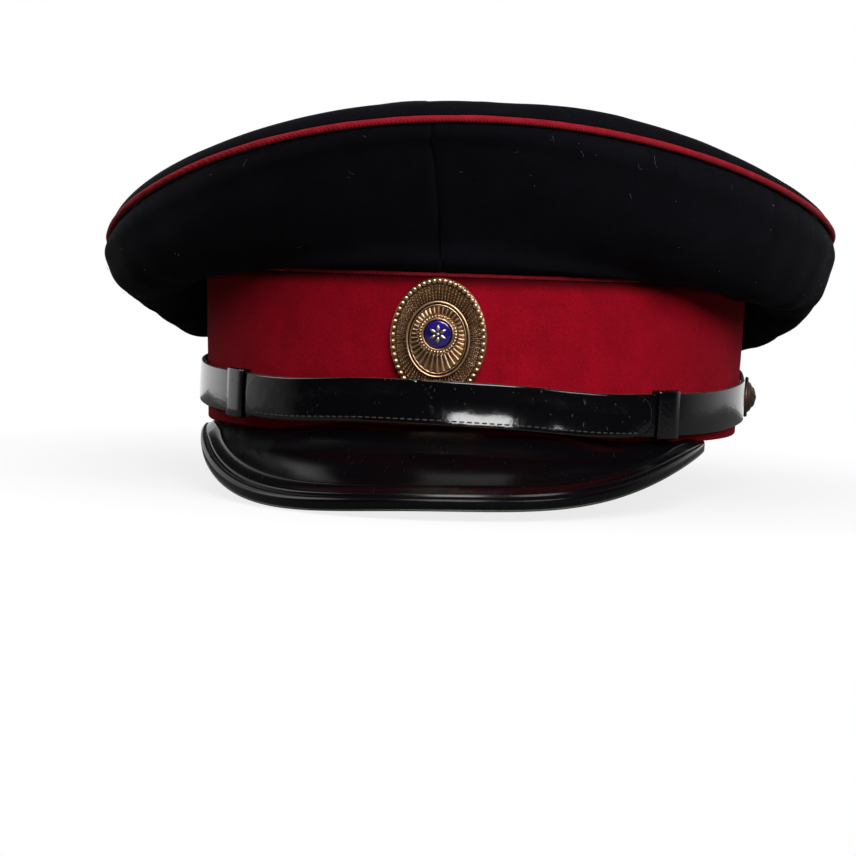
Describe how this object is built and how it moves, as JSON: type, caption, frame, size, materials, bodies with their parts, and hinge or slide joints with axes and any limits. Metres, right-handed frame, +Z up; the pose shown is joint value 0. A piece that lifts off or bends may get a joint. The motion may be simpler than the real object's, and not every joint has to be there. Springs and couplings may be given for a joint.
{
  "type": "military peaked cap",
  "caption": "Peaked cap with a wide dark crown, red band and piping, black visor, chin strap and oval badge.",
  "frame": {"origin": "middle of the head opening, in the plane of the band's lower edge", "axes": "+Z up through the crown, -Y to the front over the visor, +X to the wearer's left"},
  "size_m": [0.2466, 0.2695, 0.125],
  "materials": {
    "navy_wool": "matte",
    "red_wool": "matte",
    "red_piping": "matte",
    "black_lacquer": "gloss",
    "patent_leather": "gloss",
    "brass": "satin",
    "blue_enamel": "gloss",
    "spring_steel": "satin",
    "sweat_leather": "satin",
    "lining_satin": "satin",
    "visor_lining": "satin",
    "pressed_board": "matte",
    "wadding": "matte",
    "black_thread": "matte",
    "clear_film": "gloss"
  },
  "bodies": {
    "cap": {"band_cloth": "red_wool", "band_stiffener": "pressed_board", "band_welt": "red_piping", "button_left_back": "spring_steel", "button_left_cap": "brass", "button_left_washer": "spring_steel", "button_right_back": "spring_steel", "button_right_cap": "brass", "button_right_washer": "spring_steel", "cockade_base": "brass", "cockade_beads": "brass", "cockade_enamel": "blue_enamel", "cockade_medallion": "brass", "cockade_prongs": "brass", "cockade_rays": "brass", "cockade_ring": "brass", "cockade_rosette": "brass", "crown_back_left_panel": "navy_wool", "crown_back_right_panel": "navy_wool", "crown_front_left_panel": "navy_wool", "crown_front_right_panel": "navy_wool", "crown_piping": "red_piping", "crown_top": "navy_wool", "front_buckram": "pressed_board", "front_stay": "spring_steel", "front_wadding": "wadding", "hoop_ferrule": "spring_steel", "hoop_wire": "spring_steel", "label_film": "clear_film", "lining_side": "lining_satin", "lining_top": "lining_satin", "sweatband": "sweat_leather", "visor_seam_tape": "visor_lining", "visor_shell": "black_lacquer", "visor_underlay": "visor_lining"},
    "chin_strap": {"strap_front": "patent_leather", "strap_left": "patent_leather", "strap_right": "patent_leather", "strap_stitching": "black_thread"},
    "keeper_left": {"keeper_left": "patent_leather"},
    "keeper_right": {"keeper_right": "patent_leather"}
  },
  "joints": [
    {"name": "chin_strap_swing", "type": "hinge", "parent": "cap", "child": "chin_strap", "pos_m": [0, 0.02, 0.0132], "axis": [-0.9999, 0, 0.014], "range_deg": [0, 4.5]},
    {"name": "keeper_left_slide", "type": "hinge", "parent": "chin_strap", "child": "keeper_left", "pos_m": [0.0146, -0.00887, 0.01262], "axis": [-0.014, 0.0131, -0.9998], "range_deg": [0, 3.29]},
    {"name": "keeper_right_slide", "type": "hinge", "parent": "chin_strap", "child": "keeper_right", "pos_m": [-0.01461, -0.00887, 0.01303], "axis": [0.014, -0.0131, 0.9998], "range_deg": [0, 3.29]}
  ]
}
